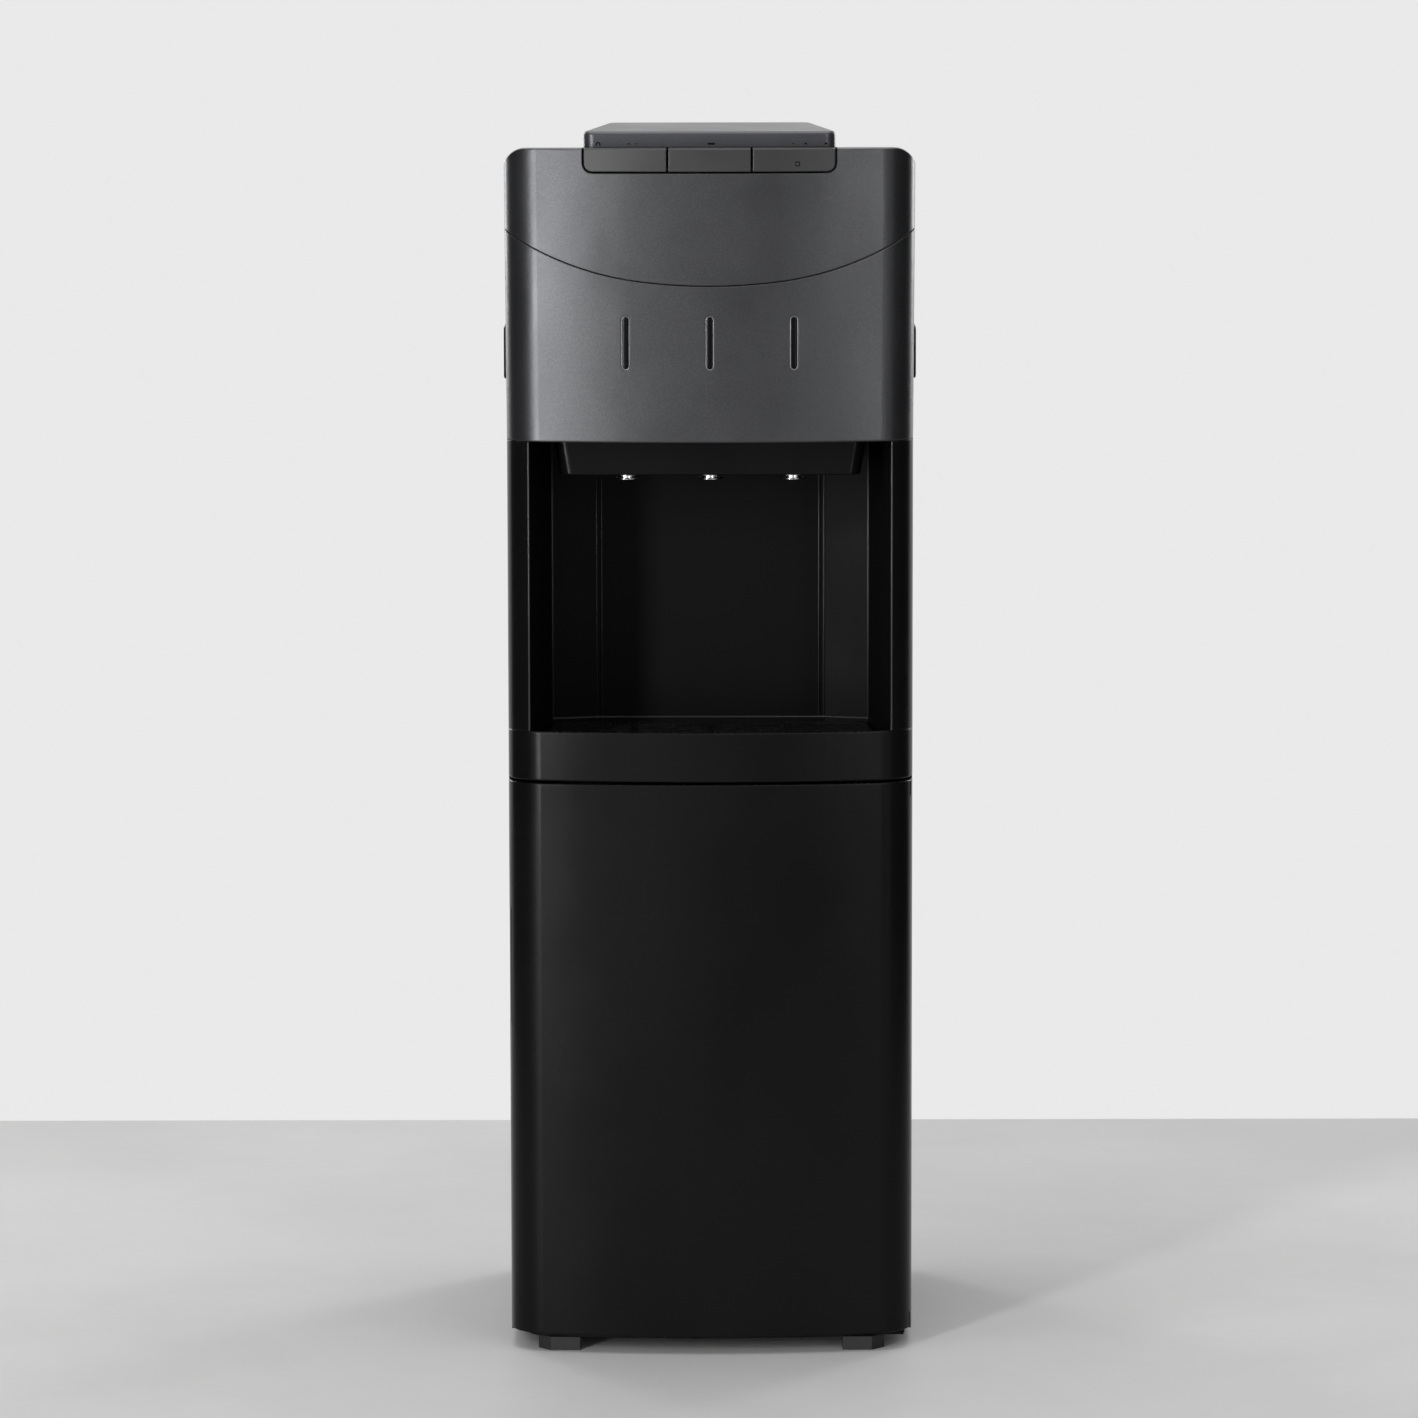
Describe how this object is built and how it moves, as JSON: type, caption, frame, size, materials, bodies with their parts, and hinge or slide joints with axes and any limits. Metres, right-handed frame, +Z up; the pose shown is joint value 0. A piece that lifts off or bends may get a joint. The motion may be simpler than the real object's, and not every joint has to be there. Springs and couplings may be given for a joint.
{
  "type": "bottom load water cooler",
  "caption": "Free-standing water cooler with a bowed door over its bottle bay, a niche with spouts and drip tray, and press keys on top.",
  "frame": {"origin": "on the floor, at the middle of the outline", "axes": "+Z up, -Y out of the front, +X to the right seen from the front"},
  "size_m": [0.353, 0.37, 1.04],
  "materials": {
    "charcoal_shell": "satin metallic charcoal paint",
    "console_gloss": "glossy charcoal",
    "key_plastic": "satin dark grey",
    "black_sheet": "satin black powder coat",
    "black_moulding": "satin black",
    "liner_grey": "matt dark grey",
    "zinc_sheet": "zinc plated sheet",
    "bright_chrome": "polished",
    "window_clear": "smoked clear",
    "circuit_green": "solder mask",
    "soft_rubber": "matt",
    "tank_steel": "bright stainless",
    "white_moulding": "natural white",
    "foam_jacket": "foam",
    "black_steel": "black enamel",
    "copper_line": "drawn copper",
    "hose_clear": "translucent silicone"
  },
  "bodies": {
    "cabinet": {"base_pan": "black_moulding", "side_panel_left": "black_sheet", "side_panel_right": "black_sheet", "rear_panel": "zinc_sheet", "mid_deck": "zinc_sheet", "tank_deck": "zinc_sheet", "bottle_cradle": "liner_grey", "tray_apron": "black_moulding", "front_posts": "black_moulding", "niche_liner": "black_moulding", "hinge_brackets": "zinc_sheet", "magnetic_catch": "black_steel", "faucet_hood": "black_moulding", "spouts": "bright_chrome", "solenoid_valves": "white_moulding", "valve_bracket": "zinc_sheet", "front_fascia": "charcoal_shell", "crown_cover": "charcoal_shell", "console_pod": "console_gloss", "indicator_lenses": "window_clear", "control_board": "circuit_green", "key_axle": "bright_chrome", "key_board": "circuit_green", "dome_left": "soft_rubber", "dome_center": "soft_rubber", "dome_right": "soft_rubber", "cold_tank": "tank_steel", "cold_tank_lid": "white_moulding", "cold_foam": "foam_jacket", "hot_tank": "tank_steel", "hot_foam": "foam_jacket", "hot_tank_heater": "copper_line", "compressor": "black_steel", "compressor_grommets": "soft_rubber", "condenser": "black_steel", "refrigerant_lines": "copper_line", "water_pump": "white_moulding", "water_lines": "hose_clear", "wiring": "soft_rubber", "bottle_probe": "white_moulding", "probe_holder": "black_moulding", "probe_hose": "hose_clear", "switch_plate": "black_moulding", "drain_port": "white_moulding", "power_inlet": "black_moulding", "feet": "soft_rubber", "case_screws": "zinc_sheet", "side_grip_left": "black_moulding", "side_grip_right": "black_moulding"},
    "door": {"door_panel": "black_moulding", "door_liner": "liner_grey", "strike_plate": "zinc_sheet"},
    "left_key": {"key_left": "key_plastic"},
    "center_key": {"key_center": "key_plastic"},
    "right_key": {"key_right": "key_plastic"},
    "tray": {"drip_tray": "black_moulding"},
    "grille": {"drip_grille": "black_moulding"},
    "hot_switch": {"hot_rocker": "black_moulding"},
    "cold_switch": {"cold_rocker": "black_moulding"},
    "drain_plug": {"drain_cap": "black_moulding"}
  },
  "joints": [
    {"name": "door_hinge", "type": "hinge", "parent": "cabinet", "child": "door", "pos_m": [0.1632, -0.14332, 0.25], "axis": [0, 0, 1], "range_deg": [0, 110]},
    {"name": "left_key_press", "type": "hinge", "parent": "cabinet", "child": "left_key", "pos_m": [-0.0705, -0.113, 1.014], "axis": [1, 0, 0], "range_deg": [0, 1], "stiffness_Nm_per_rad": 3, "springref_deg": -1.72, "deforming": ["dome_left"]},
    {"name": "center_key_press", "type": "hinge", "parent": "cabinet", "child": "center_key", "pos_m": [0, -0.113, 1.014], "axis": [1, 0, 0], "range_deg": [0, 1], "stiffness_Nm_per_rad": 3, "springref_deg": -1.72, "deforming": ["dome_center"]},
    {"name": "right_key_press", "type": "hinge", "parent": "cabinet", "child": "right_key", "pos_m": [0.0705, -0.113, 1.014], "axis": [1, 0, 0], "range_deg": [0, 1], "stiffness_Nm_per_rad": 3, "springref_deg": -1.72, "deforming": ["dome_right"]},
    {"name": "tray_lift", "type": "slide", "parent": "cabinet", "child": "tray", "axis": [0, 0, 1], "range_m": [0, 0.09]},
    {"name": "grille_lift", "type": "slide", "parent": "tray", "child": "grille", "axis": [0, 0, 1], "range_m": [0, 0.045]},
    {"name": "hot_switch_rock", "type": "hinge", "parent": "cabinet", "child": "hot_switch", "pos_m": [-0.128, 0.163, 0.922], "axis": [1, 0, 0], "range_deg": [0, 14]},
    {"name": "cold_switch_rock", "type": "hinge", "parent": "cabinet", "child": "cold_switch", "pos_m": [-0.1, 0.163, 0.922], "axis": [1, 0, 0], "range_deg": [0, 14]},
    {"name": "drain_cap_off", "type": "slide", "parent": "cabinet", "child": "drain_plug", "axis": [0, 1, 0], "range_m": [0, 0.025]}
  ]
}
